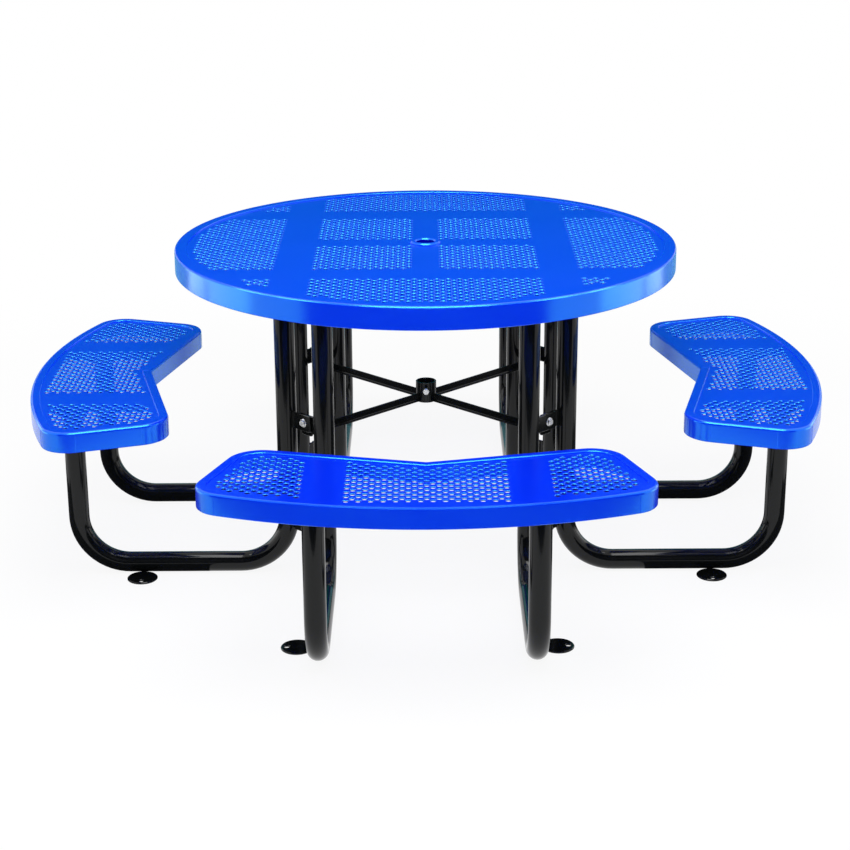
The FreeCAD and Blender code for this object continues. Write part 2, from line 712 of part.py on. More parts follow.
# Like seats share one shape, which is tested once
tested = []
for piece in pieces:
    if piece.Shape.isNull():
        raise RuntimeError(f"{piece.Label} has no shape")
    if any(piece.Shape.isPartner(shape) for shape in tested):
        continue
    if not piece.Shape.isValid():
        raise RuntimeError(f"{piece.Label} has no valid shape")
    tested.append(piece.Shape)

os.makedirs("parts", exist_ok=True)
for piece in pieces:
    piece.Shape.exportStep(f"parts/{piece.Label}.step")
    print(piece.Label, len(piece.Shape.Solids), round(piece.Shape.Volume))
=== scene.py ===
"""Round picnic table: a perforated steel top and four boomerang seats on a bent tube frame.

Lengths are metres. The table stands on the floor, its middle on the Z axis, one seat towards the camera.
"""
import math

import bmesh
import bpy
from mathutils import Matrix, Vector


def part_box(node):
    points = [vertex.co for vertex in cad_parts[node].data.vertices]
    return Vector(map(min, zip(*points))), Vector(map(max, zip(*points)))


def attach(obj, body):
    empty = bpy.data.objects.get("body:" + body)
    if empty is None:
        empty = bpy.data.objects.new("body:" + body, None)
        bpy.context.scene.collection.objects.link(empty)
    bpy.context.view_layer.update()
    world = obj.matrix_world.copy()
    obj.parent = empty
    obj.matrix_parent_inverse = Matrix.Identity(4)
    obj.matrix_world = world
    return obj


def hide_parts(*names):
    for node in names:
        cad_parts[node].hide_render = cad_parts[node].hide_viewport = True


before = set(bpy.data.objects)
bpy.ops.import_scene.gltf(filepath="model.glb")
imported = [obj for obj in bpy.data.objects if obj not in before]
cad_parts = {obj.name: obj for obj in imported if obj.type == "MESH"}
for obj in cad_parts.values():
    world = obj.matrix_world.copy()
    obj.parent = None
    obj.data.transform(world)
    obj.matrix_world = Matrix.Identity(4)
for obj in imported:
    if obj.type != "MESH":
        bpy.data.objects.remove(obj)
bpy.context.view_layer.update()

# Camera, straight in front of one seat at a standing person's eye height.
# Its height, tilt and lens follow the perspective of the tabletop, the seats and the posts.
eye = Vector((-0.003, -4.481, 1.793))
look_down = math.radians(18.66)
level_error = math.radians(-0.31)
camera = bpy.data.objects.new("camera", bpy.data.cameras.new("camera"))
camera.data.lens = 82.88
camera.matrix_world = (Matrix.Translation(eye) @ Matrix.Rotation(math.pi / 2 - look_down, 4, "X")
                       @ Matrix.Rotation(level_error, 4, "Z"))
bpy.context.collection.objects.link(camera)
bpy.context.scene.camera = camera

# Leg tubes: steel tube of 47 mm bent on a draw bender, powder coated gloss black.
# Each runs from a plate under a seat, round two bends along the floor, up to a plate under the top.
tube_radius = 0.0235
bend_radius = 0.115
leg_half = 0.230
leg_reach = 0.809
post_reach = 0.320
leg_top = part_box("seat_mount_plates")[0][2]
post_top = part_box("top_mount_plates")[0][2]
bend_height = tube_radius + bend_radius
tube_sides = 40
bend_steps = 18
weld_radius = 0.0035
bead_sides = 8
bead_steps = 96
bead_swell = 0.012
merge_gap = 1e-6
gloss_spread = 0.04
round_crease = 40.0
flat_crease = 20.0


def node_link(tree, from_socket, to_socket):
    """Joins an output of one node to an input of another."""
    tree.links.new(from_socket, to_socket)


def coated_steel(name, colour, deep_colour, roughness, peel_scale, peel_height):
    """Coating with a faint cloudiness, slightly uneven gloss and the orange peel of a sprayed finish."""
    material = bpy.data.materials.new(name)
    material.use_nodes = True
    tree = material.node_tree
    shader = tree.nodes["Principled BSDF"]
    place = tree.nodes.new("ShaderNodeTexCoord").outputs["Object"]
    clouds = tree.nodes.new("ShaderNodeTexNoise")
    clouds.inputs["Scale"].default_value = 7.0
    clouds.inputs["Detail"].default_value = 3.0
    tone = tree.nodes.new("ShaderNodeMix")
    tone.data_type = "RGBA"
    tone.inputs["A"].default_value = (*deep_colour, 1)
    tone.inputs["B"].default_value = (*colour, 1)
    gloss = tree.nodes.new("ShaderNodeMapRange")
    gloss.inputs["To Min"].default_value = roughness - gloss_spread
    gloss.inputs["To Max"].default_value = roughness + gloss_spread
    peel = tree.nodes.new("ShaderNodeTexNoise")
    peel.inputs["Scale"].default_value = peel_scale
    peel.inputs["Detail"].default_value = 2.0
    bump = tree.nodes.new("ShaderNodeBump")
    bump.inputs["Strength"].default_value = 0.5
    bump.inputs["Distance"].default_value = peel_height
    node_link(tree, place, clouds.inputs["Vector"])
    node_link(tree, place, peel.inputs["Vector"])
    node_link(tree, clouds.outputs["Fac"], tone.inputs["Factor"])
    node_link(tree, tone.outputs["Result"], shader.inputs["Base Color"])
    node_link(tree, clouds.outputs["Fac"], gloss.inputs["Value"])
    node_link(tree, gloss.outputs["Result"], shader.inputs["Roughness"])
    node_link(tree, peel.outputs["Fac"], bump.inputs["Height"])
    node_link(tree, bump.outputs["Normal"], shader.inputs["Normal"])
    return material


black_coat = coated_steel("black_powder_coat", (0.004, 0.0048, 0.005), (0.003, 0.0036, 0.0038),
                          roughness=0.10, peel_scale=320.0, peel_height=0.00006)
black_coat.node_tree.nodes["Principled BSDF"].inputs["Specular IOR Level"].default_value = 0.28


def make_piece(name, bm, material, node, body="root", crease=round_crease):
    """Turns a bmesh into a shown piece that rides on a body and stands for its CAD node."""
    mesh = bpy.data.meshes.new(name)
    bm.to_mesh(mesh)
    bm.free()
    mesh.materials.append(material)
    mesh.shade_smooth()
    mesh.set_sharp_from_angle(angle=math.radians(crease))
    piece = bpy.data.objects.new(name, mesh)
    bpy.context.collection.objects.link(piece)
    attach(piece, body)
    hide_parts(node)
    return piece


def turn_about_middle(bm, degrees):
    """Turns a whole bmesh about the Z axis."""
    turned = Matrix.Rotation(math.radians(degrees), 3, "Z")
    bmesh.ops.rotate(bm, verts=bm.verts, cent=(0, 0, 0), matrix=turned)


def push_loop(bm, loop, move):
    """Extrudes an open loop of edges and moves its new end."""
    grown = bmesh.ops.extrude_edge_only(bm, edges=loop)["geom"]
    ends = [item for item in grown if isinstance(item, bmesh.types.BMVert)]
    bmesh.ops.translate(bm, verts=ends, vec=move)
    return [item for item in grown if isinstance(item, bmesh.types.BMEdge)
            and all(vert in ends for vert in item.verts)]


def spin_loop(bm, loop, centre, degrees, steps):
    """Sweeps an open loop of edges round an axis along Y."""
    verts = list({vert for edge in loop for vert in edge.verts})
    last = bmesh.ops.spin(bm, geom=verts + loop, cent=centre, axis=(0, 1, 0), dvec=(0, 0, 0),
                          angle=math.radians(degrees), steps=steps, use_duplicate=False)["geom_last"]
    return [item for item in last if isinstance(item, bmesh.types.BMEdge)]


def weld_bead(bm, centre, ring_radius, ripples):
    """A ring of weld round a tube at the level of its centre, rippled as a hand-run bead is."""
    bead = bmesh.ops.create_circle(bm, segments=bead_sides, radius=weld_radius)["verts"]
    bmesh.ops.rotate(bm, verts=bead, cent=(0, 0, 0), matrix=Matrix.Rotation(math.pi / 2, 3, "X"))
    bmesh.ops.translate(bm, verts=bead, vec=(ring_radius, 0, 0))
    edges = list({edge for vert in bead for edge in vert.link_edges})
    known = set(bm.verts) - set(bead)
    bmesh.ops.spin(bm, geom=bead + edges, cent=(0, 0, 0), axis=(0, 0, 1), dvec=(0, 0, 0),
                   angle=2 * math.pi, steps=bead_steps, use_merge=True, use_duplicate=False)
    ring = [vert for vert in bm.verts if vert not in known]
    for vert in ring:
        turn = math.atan2(vert.co.y, vert.co.x)
        swell = 1 + bead_swell * math.sin(ripples * turn)
        vert.co.x *= swell
        vert.co.y *= swell
    bmesh.ops.translate(bm, verts=ring, vec=centre)


def leg_tube(side):
    """One tube of the seat towards +X, on the given side of it."""
    bm = bmesh.new()
    circle = bmesh.ops.create_circle(bm, segments=tube_sides, radius=tube_radius)["verts"]
    loop = list({edge for vert in circle for edge in vert.link_edges})
    y = side * leg_half
    bmesh.ops.translate(bm, verts=circle, vec=(leg_reach, y, leg_top))
    bmesh.ops.contextual_create(bm, geom=loop)
    loop = push_loop(bm, loop, (0, 0, bend_height - leg_top))
    loop = spin_loop(bm, loop, (leg_reach - bend_radius, y, bend_height), 90, bend_steps)
    loop = push_loop(bm, loop, (post_reach + 2 * bend_radius - leg_reach, 0, 0))
    loop = spin_loop(bm, loop, (post_reach + bend_radius, y, bend_height), 90, bend_steps)
    loop = push_loop(bm, loop, (0, 0, post_top - bend_height))
    bmesh.ops.contextual_create(bm, geom=loop)
    bmesh.ops.remove_doubles(bm, verts=bm.verts, dist=merge_gap)
    weld_bead(bm, (leg_reach, y, leg_top - weld_radius), tube_radius, ripples=31)
    weld_bead(bm, (post_reach, y, post_top - weld_radius), tube_radius, ripples=29)
    bmesh.ops.recalc_face_normals(bm, faces=bm.faces)
    return bm


seat_turns = {"right": 0, "back": 90, "left": 180, "front": 270}
leg_sides = {"right": ("front", "back"), "back": ("right", "left"),
             "left": ("back", "front"), "front": ("left", "right")}
for seat, turn in seat_turns.items():
    for side, name in zip((-1, 1), leg_sides[seat]):
        tube = leg_tube(side)
        turn_about_middle(tube, turn)
        make_piece(f"tube_{seat}_{name}", tube, black_coat, f"leg_{seat}_{name}")

# Foot discs: round plates of 5 mm steel welded to the flank of each floor run.
# A ground anchor goes through the hole on the outer side.
foot_radius = 0.035
foot_thickness = 0.005
foot_reach = 0.662
foot_side = leg_half + math.sqrt(foot_thickness * (2 * tube_radius - foot_thickness)) + foot_radius
anchor_offset = 0.022
anchor_radius = 0.00575
foot_lip = 0.0015


def ring_points(centre, radius, count):
    """Points round a circle, starting on its +X side."""
    return [(centre[0] + radius * math.cos(2 * math.pi * step / count),
             centre[1] + radius * math.sin(2 * math.pi * step / count)) for step in range(count)]


def flat_plate(outlines, bottom, thickness, lip):
    """A flat plate from closed outlines, holes included, with its edges broken by a lip."""
    curve = bpy.data.curves.new("outline", "CURVE")
    curve.dimensions = "2D"
    curve.fill_mode = "BOTH"
    curve.extrude = thickness / 2 - lip
    curve.bevel_depth = lip
    curve.bevel_resolution = 0
    curve.offset = -lip
    for points in outlines:
        spline = curve.splines.new("POLY")
        spline.points.add(len(points) - 1)
        spline.points.foreach_set("co", [value for x, y in points for value in (x, y, 0.0, 1.0)])
        spline.use_cyclic_u = True
    carrier = bpy.data.objects.new("outline", curve)
    bpy.context.collection.objects.link(carrier)
    bpy.context.view_layer.update()
    mesh = bpy.data.meshes.new_from_object(carrier.evaluated_get(bpy.context.evaluated_depsgraph_get()))
    bpy.data.objects.remove(carrier)
    bpy.data.curves.remove(curve)
    bm = bmesh.new()
    bm.from_mesh(mesh)
    bpy.data.meshes.remove(mesh)
    bmesh.ops.remove_doubles(bm, verts=bm.verts, dist=merge_gap)
    bmesh.ops.recalc_face_normals(bm, faces=bm.faces)
    bmesh.ops.translate(bm, verts=bm.verts, vec=(0, 0, bottom + thickness / 2))
    return bm


def join(target, addition, *turns):
    """Adds copies of one bmesh to another, one at each turn about the middle, and frees it."""
    for degrees in turns:
        mesh = bpy.data.meshes.new("copy")
        addition.to_mesh(mesh)
        mesh.transform(Matrix.Rotation(math.radians(degrees), 4, "Z"))
        target.from_mesh(mesh)
        bpy.data.meshes.remove(mesh)
    addition.free()


feet = bmesh.new()
for side in (-1, 1):
    outline = ring_points((foot_reach, side * foot_side), foot_radius, count=48)
    anchor = ring_points((foot_reach, side * (foot_side + anchor_offset)), anchor_radius, count=20)
    join(feet, flat_plate([outline, anchor], 0.0, foot_thickness, foot_lip), *seat_turns.values())
make_piece("feet", feet, black_coat, "foot_discs")

# Mount plates: 5 mm plates welded on the tube ends, each drilled for two bolts into the rail above.
# They reach inwards past the tube, because the rails stand just inside it.
plate_thickness = 0.005
plate_length = 0.070
rail_width = 0.060
rail_centre = post_reach - tube_radius
seat_rail_centre = leg_half - tube_radius
bolt_spacing = 0.052
bolt_hole_radius = 0.0043
bolt_hole_points = 16
plate_round = 0.006
plate_lip = 0.0008
top_bolts = [(rail_centre, leg_half + shift * bolt_spacing / 2) for shift in (-1, 1)]
seat_bolts = [(leg_reach + shift * bolt_spacing / 2, seat_rail_centre) for shift in (-1, 1)]


def arc(centre, start, sweep, steps):
    """Points along an arc that begins at a point and turns about a centre."""
    spoke = Vector(start) - Vector(centre)
    return [Vector(centre) + Matrix.Rotation(sweep * step / steps, 2) @ spoke for step in range(steps + 1)]


def rounded_rectangle(left, right, low, high, radius, steps=5):
    """Points round a rectangle whose corners are arcs."""
    points = []
    for x, y, turn in ((right, high, 0), (left, high, 90), (left, low, 180), (right, low, 270)):
        direction = math.radians(turn)
        toward = Matrix.Rotation(direction, 2) @ Vector((1, 1)) * radius
        centre = Vector((x, y)) - toward
        start = centre + Matrix.Rotation(direction, 2) @ Vector((radius, 0))
        points += arc(centre, start, math.pi / 2, steps)
    return points


def mount_plates(name, node, left, right, low, high, bolts):
    """Plates at both tubes of every seat, from the sides of the one at the right and its bolt places."""
    plates = bmesh.new()
    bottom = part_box(node)[0][2]
    for side in (-1, 1):
        ends = sorted((side * low, side * high))
        outlines = [rounded_rectangle(left, right, *ends, plate_round)]
        outlines += [ring_points((x, side * y), bolt_hole_radius, bolt_hole_points) for x, y in bolts]
        join(plates, flat_plate(outlines, bottom, plate_thickness, plate_lip), *seat_turns.values())
    make_piece(name, plates, black_coat, node)


mount_plates("post_plates", "top_mount_plates", rail_centre - rail_width / 2, post_reach + tube_radius,
             leg_half - plate_length / 2, leg_half + plate_length / 2, top_bolts)
mount_plates("leg_plates", "seat_mount_plates", leg_reach - plate_length / 2, leg_reach + plate_length / 2,
             seat_rail_centre - rail_width / 2, leg_half + tube_radius, seat_bolts)

# Corner ears: flat plates welded to the two posts of a corner, lapped and bolted together at two levels.
# One ear of each pair lies outside the joint line and one inside it.
ear_height = 0.038
ear_thickness = 0.005
ear_lap = 0.022
ear_round = 0.003
ear_levels = (0.380, 0.130)
corner_out = (post_reach + leg_half) / math.sqrt(2)
corner_side = (post_reach - leg_half) / math.sqrt(2)
ear_start = corner_side - tube_radius
corner_turns = (45, 135, 225, 315)
stand_outwards = Matrix(((0, 0, 1, 0), (1, 0, 0, 0), (0, 1, 0, 0), (0, 0, 0, 1)))
for name, node, start, end, inner in (
        ("outer_ears", "corner_ears_outer", -ear_start, ear_lap, corner_out),
        ("inner_ears", "corner_ears_inner", -ear_lap, ear_start, corner_out - ear_thickness)):
    ears = bmesh.new()
    for level in ear_levels:
        outline = rounded_rectangle(start, end, level - ear_height / 2, level + ear_height / 2, ear_round)
        hole = ring_points((0, level), bolt_hole_radius, bolt_hole_points)
        ear = flat_plate([outline, hole], inner, ear_thickness, plate_lip)
        bmesh.ops.transform(ear, matrix=stand_outwards, verts=ear.verts)
        join(ears, ear, *corner_turns)
    make_piece(name, ears, black_coat, node)

# Umbrella holder: a short tube on a round floor with a drain hole, under the hole in the top.
# Four arms of inverted T section run from it to end plates, which share the upper bolts of the corner ears.
holder_radius = 0.0245
holder_bore = 0.021
holder_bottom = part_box("umbrella_holder")[0][2]
holder_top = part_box("umbrella_holder")[1][2]
floor_thickness = 0.004
floor_radius = 0.0245
drain_radius = 0.006
holder_lip = 0.0008
holder_steps = 64
arm_depth = 0.019
arm_flange = 0.015
arm_wall = 0.003
arm_bottom = 0.348
arm_end = corner_out - ear_thickness
arm_end_thickness = 0.004
arm_end_width = 0.034
arm_end_margin = 0.016
arm_end_round = 0.005
arm_end_lip = 0.0006
arm_lip = 0.0009


def spun(profile, steps):
    """A closed ring turned about Z from the (radius, height) corners of its section."""
    bm = bmesh.new()
    verts = [bm.verts.new((radius, 0, height)) for radius, height in profile]
    edges = [bm.edges.new((verts[index - 1], vert)) for index, vert in enumerate(verts)]
    bmesh.ops.spin(bm, geom=verts + edges, cent=(0, 0, 0), axis=(0, 0, 1), dvec=(0, 0, 0),
                   angle=2 * math.pi, steps=steps, use_merge=True, use_duplicate=False)
    bmesh.ops.remove_doubles(bm, verts=bm.verts, dist=merge_gap)
    bmesh.ops.recalc_face_normals(bm, faces=bm.faces)
    return bm


holder_section = [(holder_bore, holder_bottom), (holder_radius, holder_bottom),
                  (holder_radius, holder_top - holder_lip), (holder_radius - holder_lip, holder_top),
                  (holder_bore + holder_lip, holder_top), (holder_bore, holder_top - holder_lip)]
holder_tube = make_piece("holder_tube", spun(holder_section, holder_steps), black_coat,
                         "umbrella_holder")
floor_outlines = [ring_points((0, 0), floor_radius, holder_steps),
                  ring_points((0, 0), drain_radius, count=24)]
holder_base = flat_plate(floor_outlines, holder_bottom - floor_thickness, floor_thickness, holder_lip)
make_piece("holder_base", holder_base, black_coat, "holder_floor")


def long_section(corners, start, end, edge_lip):
    """A bar along X from the (y, z) corners of its section, with its edges broken."""
    bm = bmesh.new()
    face = bm.faces.new([bm.verts.new((start, y, z)) for y, z in corners])
    grown = bmesh.ops.extrude_face_region(bm, geom=[face])["geom"]
    bmesh.ops.translate(bm, verts=[item for item in grown if isinstance(item, bmesh.types.BMVert)],
                        vec=(end - start, 0, 0))
    bmesh.ops.recalc_face_normals(bm, faces=bm.faces)
    bmesh.ops.bevel(bm, geom=bm.edges[:], offset=edge_lip, affect="EDGES", segments=2, profile=0.5,
                    material=-1)
    return bm


half_wall = arm_wall / 2
half_flange = arm_flange / 2
flange_top = arm_bottom + arm_wall
web_top = arm_bottom + arm_depth
arm_section = [(-half_flange, arm_bottom), (half_flange, arm_bottom), (half_flange, flange_top),
               (half_wall, flange_top), (half_wall, web_top), (-half_wall, web_top),
               (-half_wall, flange_top), (-half_flange, flange_top)]
end_outline = rounded_rectangle(-arm_end_width / 2, arm_end_width / 2, arm_bottom,
                                ear_levels[0] + arm_end_margin, arm_end_round)
end_hole = ring_points((0, ear_levels[0]), bolt_hole_radius, bolt_hole_points)
for name, turn in zip(("back_right", "back_left", "front_left", "front_right"), corner_turns):
    arm = long_section(arm_section, holder_radius, arm_end, arm_lip)
    end_plate = flat_plate([end_outline, end_hole], arm_end - arm_end_thickness, arm_end_thickness,
                           arm_end_lip)
    bmesh.ops.transform(end_plate, matrix=stand_outwards, verts=end_plate.verts)
    join(arm, end_plate, 0)
    turn_about_middle(arm, turn)
    make_piece(f"arm_{name}", arm, black_coat, f"brace_arm_{name}", crease=flat_crease)

# Clamp: a nut welded to the front of the holder and a hexagon screw that presses on the umbrella pole.
# The nut is coated with the frame, and the screw is bright zinc plated.
# The wall of the holder is drilled with some clearance, so that the screw can slide in.
clamp_height = 0.379
clamp_across = 0.013
screw_radius = 0.004
clamp_clearance = 0.0002
thread_pitch = 0.00125
thread_depth = 0.0008
screw_steps = 32
head_height = 0.007
head_lip = 0.0009
weld_nut_lip = 0.0007
face_forwards = Matrix.Rotation(math.pi / 2, 4, "X")


def hex_block(across, height, lip):
    """A hexagonal prism on z = 0 with its edges broken."""
    bm = bmesh.new()
    corner = across / math.sqrt(3)
    stand = Matrix.Translation((0, 0, height / 2)) @ Matrix.Rotation(math.pi / 6, 4, "Z")
    bmesh.ops.create_cone(bm, cap_ends=True, segments=6, radius1=corner, radius2=corner, depth=height,
                          matrix=stand)
    bmesh.ops.bevel(bm, geom=bm.edges[:], offset=lip, affect="EDGES", segments=2, profile=0.5, material=-1)
    return bm


def bright_zinc():
    """Plated steel: bright, with the fine cloudy gloss of a tumbled plating bath."""
    material = bpy.data.materials.new("bright_zinc")
    material.use_nodes = True
    tree = material.node_tree
    shader = tree.nodes["Principled BSDF"]
    shader.inputs["Base Color"].default_value = (0.86, 0.87, 0.88, 1)
    shader.inputs["Metallic"].default_value = 1.0
    clouds = tree.nodes.new("ShaderNodeTexNoise")
    clouds.inputs["Scale"].default_value = 160.0
    gloss = tree.nodes.new("ShaderNodeMapRange")
    gloss.inputs["To Min"].default_value = 0.20
    gloss.inputs["To Max"].default_value = 0.36
    node_link(tree, tree.nodes.new("ShaderNodeTexCoord").outputs["Object"], clouds.inputs["Vector"])
    node_link(tree, clouds.outputs["Fac"], gloss.inputs["Value"])
    node_link(tree, gloss.outputs["Result"], shader.inputs["Roughness"])
    return material


zinc = bright_zinc()


def threaded_rod(radius, length):
    """A rod on z = 0 with ring grooves for its thread and a chamfered tip."""
    profile = [(0, 0), (radius - thread_depth, 0)]
    turns = int(length / thread_pitch)
    for turn in range(turns):
        profile.append((radius, (turn + 0.5) * length / turns))
        profile.append((radius - thread_depth, (turn + 1) * length / turns))
    profile.append((0, length))
    return spun(profile, screw_steps)


drill = bmesh.new()
drill_radius = screw_radius + clamp_clearance
bmesh.ops.create_cone(drill, cap_ends=True, segments=screw_steps, radius1=drill_radius, radius2=drill_radius,
                      depth=holder_radius,
                      matrix=Matrix.Translation((0, -holder_radius, clamp_height)) @ face_forwards)
drill_mesh = bpy.data.meshes.new("drill")
drill.to_mesh(drill_mesh)
drill.free()
drill_object = bpy.data.objects.new("drill", drill_mesh)
bpy.context.collection.objects.link(drill_object)
bore = holder_tube.modifiers.new("clamp_bore", "BOOLEAN")
bore.operation = "DIFFERENCE"
bore.object = drill_object
drilled = holder_tube.evaluated_get(bpy.context.evaluated_depsgraph_get())
holder_tube.data = bpy.data.meshes.new_from_object(drilled)
holder_tube.data.set_sharp_from_angle(angle=math.radians(flat_crease))
holder_tube.modifiers.clear()
bpy.data.objects.remove(drill_object)

nut_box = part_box("clamp_nut")
nut = hex_block(clamp_across, nut_box[1][1] - nut_box[0][1], weld_nut_lip)
bmesh.ops.transform(nut, matrix=Matrix.Translation((0, nut_box[1][1], clamp_height)) @ face_forwards,
                    verts=nut.verts)
make_piece("welded_nut", nut, black_coat, "clamp_nut", crease=flat_crease)

screw_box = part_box("clamp_screw")
screw_length = screw_box[1][1] - screw_box[0][1]
screw = threaded_rod(screw_radius, screw_length - head_height)
head = hex_block(clamp_across, head_height, head_lip)
bmesh.ops.translate(head, verts=head.verts, vec=(0, 0, screw_length - head_height))
join(screw, head, 0)
bmesh.ops.transform(screw, matrix=Matrix.Translation((0, screw_box[1][1], clamp_height)) @ face_forwards,
                    verts=screw.verts)
make_piece("clamp_bolt", screw, zinc, "clamp_screw", body="clamp", crease=flat_crease)

# Corner fasteners: button head bolts on washers outside the ears, with hexagon nuts inside them.
# All are zinc plated steel, left bare of coating.
washer_radius = 0.010
washer_thickness = 0.0016
washer_lip = 0.0004
button_radius = 0.008
button_height = 0.0045
dome_start = 0.25
dome_flat = 0.35
dome_steps = 6
socket_radius = 0.0025
socket_depth = 0.0022
bolt_radius = 0.004
hex_across = 0.013
nut_height = 0.0065
nut_lip = 0.0006
thread_past_nut = 0.002
washers = bmesh.new()
buttons = bmesh.new()
corner_nuts = bmesh.new()
for level, packet in zip(ear_levels, (ear_thickness + arm_end_thickness, ear_thickness)):
    outward = Matrix.Translation((corner_out, 0, level)) @ stand_outwards
    washer_outlines = [ring_points((0, 0), washer_radius, count=40),
                       ring_points((0, 0), bolt_hole_radius, count=20)]
    washer = flat_plate(washer_outlines, ear_thickness, washer_thickness, washer_lip)
    bmesh.ops.transform(washer, matrix=outward, verts=washer.verts)
    join(washers, washer, *corner_turns)
    face = ear_thickness + washer_thickness
    dome_level = face + button_height * dome_start
    dome = arc((button_radius * dome_flat, dome_level), (button_radius, dome_level), math.pi / 2, dome_steps)
    crown = face + button_height
    dome = [(point.x, min(point.y, crown)) for point in dome]
    grip = packet + nut_height + thread_past_nut
    button = spun([(0, -grip), (bolt_radius, -grip), (bolt_radius, face), (button_radius, face), *dome,
                   (socket_radius, crown), (socket_radius, crown - socket_depth), (0, crown - socket_depth)],
                  steps=40)
    bmesh.ops.transform(button, matrix=outward, verts=button.verts)
    join(buttons, button, *corner_turns)
    corner_nut = hex_block(hex_across, nut_height, nut_lip)
    bmesh.ops.translate(corner_nut, verts=corner_nut.verts, vec=(0, 0, -packet - nut_height))
    bmesh.ops.transform(corner_nut, matrix=outward, verts=corner_nut.verts)
    join(corner_nuts, corner_nut, *corner_turns)
make_piece("ear_washers", washers, zinc, "corner_washers")
make_piece("ear_bolts", buttons, zinc, "corner_bolts")
make_piece("ear_nuts", corner_nuts, zinc, "corner_nuts", crease=flat_crease)

# Rails under the top: pressed channels, open side up, welded to the perforated sheet and coated with it.
# Two run the full length, and two short ones end against them.
rail_wall = 0.003
rail_length = 0.880
rail_lip = 0.0007


def coated_blue(name, colour, deep_colour, gloss):
    """Thick thermoplastic coat: deep saturated blue, smooth, with a cool gloss."""
    material = coated_steel(name, colour, deep_colour, roughness=0.18, peel_scale=160.0, peel_height=0.00010)
    shader = material.node_tree.nodes["Principled BSDF"]
    shader.inputs["IOR"].default_value = 1.8
    shader.inputs["Specular IOR Level"].default_value = gloss
    shader.inputs["Specular Tint"].default_value = (0.10, 0.90, 1.0, 1)
    return material


blue_coat = coated_blue("blue_thermoplastic", (0.0008, 0.028, 0.92), (0.0006, 0.024, 0.87), gloss=1.0)


def channel(middle, bottom, top, start, end):
    """A channel along X with its web at the bottom."""
    left = middle - rail_width / 2
    right = middle + rail_width / 2
    return long_section([(left, bottom), (right, bottom), (right, top), (right - rail_wall, top),
                         (right - rail_wall, bottom + rail_wall), (left + rail_wall, bottom + rail_wall),
                         (left + rail_wall, top), (left, top)], start, end, rail_lip)


rail_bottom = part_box("top_rail_right")[0][2]
rail_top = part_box("top_rail_right")[1][2]
short_half = rail_centre - rail_width / 2
for name, turn, half_length in (("right", 270, rail_length / 2), ("left", 90, rail_length / 2),
                                ("back", 0, short_half), ("front", 180, short_half)):
    rail = channel(rail_centre, rail_bottom, rail_top, -half_length, half_length)
    turn_about_middle(rail, turn)
    make_piece(f"rail_{name}", rail, blue_coat, f"top_rail_{name}")

# Tabletop rim: an angle rolled to a ring, its flange on the sheet and its apron hanging down.
# The outer edge is rounded by the bend, and the thick coat softens the cut edges.
top_radius = 0.5842
table_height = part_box("tabletop_rim")[1][2]
sheet_thickness = 0.003
top_flange = 0.028
top_apron = 0.052
edge_radius = 0.0058
cut_lip = 0.0014
flat_hold = 0.0008
edge_steps = 3
rim_steps = 240
rim_crease = 25.0


def rim_section(top, flange, apron):
    """Corners of the rim's section as (distance in from the outer edge, height)."""
    foot = top - apron
    centre = (edge_radius, top - edge_radius)
    bend = arc(centre, (0, top - edge_radius), -math.pi / 2, edge_steps)
    inner_bend = arc(centre, (edge_radius, top - sheet_thickness), math.pi / 2, edge_steps)
    # A line close to each end of the bend keeps the flats beside it flat in the light
    return [(cut_lip, foot), (0, foot + cut_lip), (0, bend[0].y - flat_hold), *bend,
            (edge_radius + flat_hold, top), (flange - cut_lip, top), (flange, top - cut_lip),
            (flange, top - sheet_thickness), *inner_bend, (sheet_thickness, foot + cut_lip),
            (sheet_thickness - cut_lip, foot)]


top_section = [(top_radius - inwards, height)
               for inwards, height in rim_section(table_height, top_flange, top_apron)]
make_piece("top_rim", spun(top_section, rim_steps), blue_coat, "tabletop_rim",
           crease=rim_crease)

# Perforated top: 3 mm sheet punched on a lattice at 45 degrees, welded into the rim.
# Solid bands lie over the rails, and a cross between them carries the umbrella hole.
# The lips round the holes are less than half the sheet, so that a straight wall stays below them.
fit_gap = 0.0003
hole_radius = 0.00575
hole_pitch = 0.01746
hole_margin = 0.009
top_hole_lip = 0.0014
seat_hole_lip = 0.0012
hole_corners = 12
band_half = 0.039
cross_half = 0.029
collar_sleeve = 0.024
wall_lean = 0.2


def lattice(reach):
    """Points of a square lattice turned by 45 degrees."""
    step = hole_pitch / math.sqrt(2)
    count = int(reach / step) + 1
    lines = range(-count, count + 1)
    return [(column * step, line * step) for column in lines for line in lines if (column + line) % 2 == 0]


def off_bands(x, y):
    """True where a hole of the top misses the bands over the rails and the cross between them."""
    over_rail = min(abs(abs(x) - rail_centre), abs(abs(y) - rail_centre)) < band_half + hole_radius
    between = max(abs(x), abs(y)) < rail_centre
    return not over_rail and not (between and min(abs(x), abs(y)) < cross_half + hole_radius)


hole_limit = top_radius - top_flange - hole_margin - hole_radius
top_outlines = [ring_points((0, 0), top_radius - sheet_thickness - fit_gap, rim_steps),
                ring_points((0, 0), collar_sleeve + fit_gap, count=48)]
for x, y in lattice(hole_limit):
    if off_bands(x, y) and math.hypot(x, y) < hole_limit:
        top_outlines.append(ring_points((x, y), hole_radius, hole_corners))
sheet_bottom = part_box("tabletop_sheet")[0][2]


def punched_sheet(outlines, bottom, hole_lip):
    """A sheet whose holes keep a sharp edge below and get a broad lip of coat above."""
    bm = flat_plate(outlines, bottom, sheet_thickness, hole_lip)
    for vert in bm.verts:
        if vert.co.z < bottom + sheet_thickness / 2:
            vert.co.z = bottom
    return bm


# Painted shade: a darker blue with little gloss for the walls of the holes, where shade falls.
hole_shade_coat = coated_blue("blue_painted_hole_shade", (0.0004, 0.0014, 0.44), (0.0003, 0.0010, 0.36), gloss=0.05)


